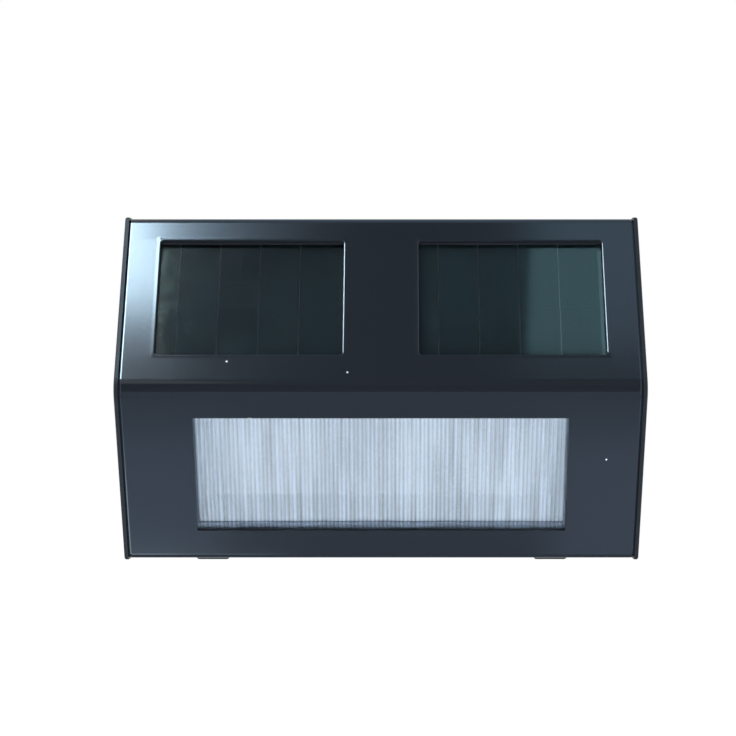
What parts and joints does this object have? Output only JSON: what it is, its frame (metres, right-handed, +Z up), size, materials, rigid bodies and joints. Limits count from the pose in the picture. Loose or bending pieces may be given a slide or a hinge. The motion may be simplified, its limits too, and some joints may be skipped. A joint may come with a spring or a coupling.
{
  "type": "solar fence light",
  "caption": "Wall-mounted solar light with a folded dark cover, two solar panels above a bend and a reeded lens below it.",
  "frame": {"origin": "on the wall face, midway between the ends and level with the cover's bend", "axes": "+X to the right seen from the front, +Y into the wall, +Z up; the front faces -Y"},
  "size_m": [0.152, 0.0446, 0.1021],
  "materials": {
    "coated_steel": "dark satin powder coat on folded sheet steel",
    "end_cap": "dark satin moulded plastic",
    "panel_glass": "clear polished glass with a little dust",
    "cell_film": "blue-black amorphous silicon film",
    "cell_lacquer": "brown-grey lacquer coat",
    "clear_acrylic": "clear reeded acrylic",
    "white_reflector": "white moulded plastic",
    "black_abs": "black moulded plastic with a fine grain",
    "black_foam": "closed-cell foam",
    "grey_foam": "blue-grey closed-cell foam",
    "circuit_board": "green solder mask",
    "lamp_resin": "clear epoxy",
    "chip_resin": "black moulding compound",
    "ferrite": "dark ferrite",
    "capacitor_sleeve": "shrink sleeve",
    "zinc_steel": "zinc plated",
    "nickel_contact": "nickel plated spring strip",
    "cell_sleeve": "plain green sleeve on a metal can",
    "switch_plastic": "black plastic",
    "lead_sleeve": "soft insulation"
  },
  "bodies": {
    "case": {"front_cover": "coated_steel", "left_end_cap": "end_cap", "right_end_cap": "end_cap", "left_solar_glass": "panel_glass", "right_solar_glass": "panel_glass", "left_solar_cells": "cell_film", "right_solar_cells": "cell_film", "left_solar_backing": "cell_lacquer", "right_solar_backing": "cell_lacquer", "left_panel_gasket": "black_foam", "right_panel_gasket": "black_foam", "panel_tray": "black_abs", "lens": "clear_acrylic", "lens_gasket": "black_foam", "light_box_seal": "grey_foam", "reflector": "white_reflector", "led_board": "circuit_board", "leds": "lamp_resin", "led_board_screws": "zinc_steel", "back_housing": "black_abs", "housing_seal": "black_foam", "back_screws": "zinc_steel", "door_seal": "black_foam", "battery_cell": "cell_sleeve", "battery_contacts": "nickel_contact", "battery_spring": "nickel_contact", "control_board": "circuit_board", "board_screws": "zinc_steel", "charge_chip": "chip_resin", "inductor": "ferrite", "capacitor": "capacitor_sleeve", "switch_body": "switch_plastic", "panel_leads": "lead_sleeve", "led_leads": "lead_sleeve", "battery_leads": "lead_sleeve"},
    "door": {"battery_door": "black_abs"},
    "switch_knob": {"switch_slider": "switch_plastic"}
  },
  "joints": [
    {"name": "battery_door_hinge", "type": "hinge", "parent": "case", "child": "door", "pos_m": [0, -0.001, 0.02295], "axis": [1, 0, 0], "range_deg": [0, 95]},
    {"name": "switch_slide", "type": "slide", "parent": "case", "child": "switch_knob", "axis": [1, 0, 0], "range_m": [0, 0.0024]}
  ]
}
